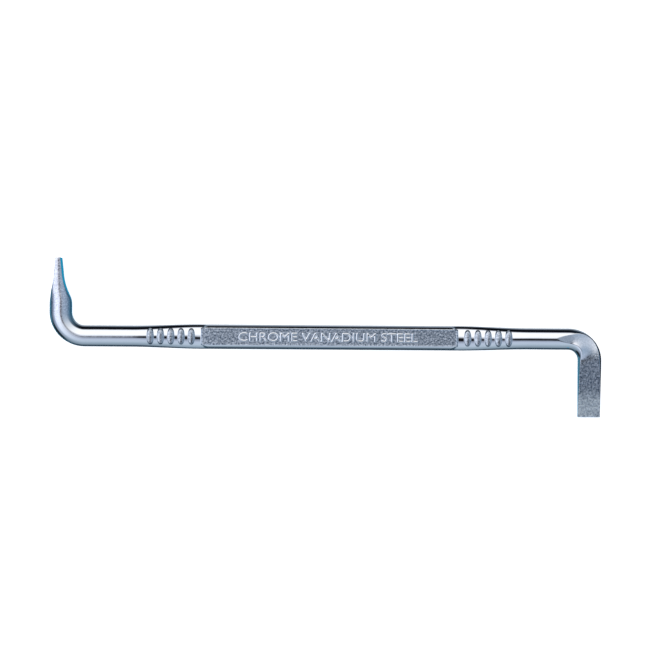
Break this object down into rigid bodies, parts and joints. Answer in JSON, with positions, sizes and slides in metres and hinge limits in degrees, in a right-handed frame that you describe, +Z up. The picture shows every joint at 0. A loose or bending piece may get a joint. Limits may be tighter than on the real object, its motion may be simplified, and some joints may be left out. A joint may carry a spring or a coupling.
{
  "type": "offset screwdriver",
  "caption": "Double-ended offset slotted screwdriver: a Z-shaped forged steel bar with a ribbed flat grip, one blade crosswise and one lengthwise.",
  "frame": {"origin": "under the middle of the shank, on the surface the tool lies on", "axes": "+X along the shank towards the lengthwise blade, +Y towards the crosswise blade's tip, +Z up, out of the grip's face"},
  "size_m": [0.135, 0.0382, 0.0055],
  "materials": {
    "bright_plating": "bright nickel-chrome plating over polished forged steel",
    "grained_plating": "nickel-chrome plating over a fine pebbled die-forged surface"
  },
  "bodies": {
    "root": {"crosswise_blade": "bright_plating", "crosswise_bend": "bright_plating", "crosswise_shank": "bright_plating", "crosswise_grip_ribs": "bright_plating", "grip_panel": "grained_plating", "lengthwise_grip_ribs": "bright_plating", "lengthwise_shank": "bright_plating", "lengthwise_bend": "bright_plating", "lengthwise_blade": "grained_plating"}
  },
  "joints": []
}
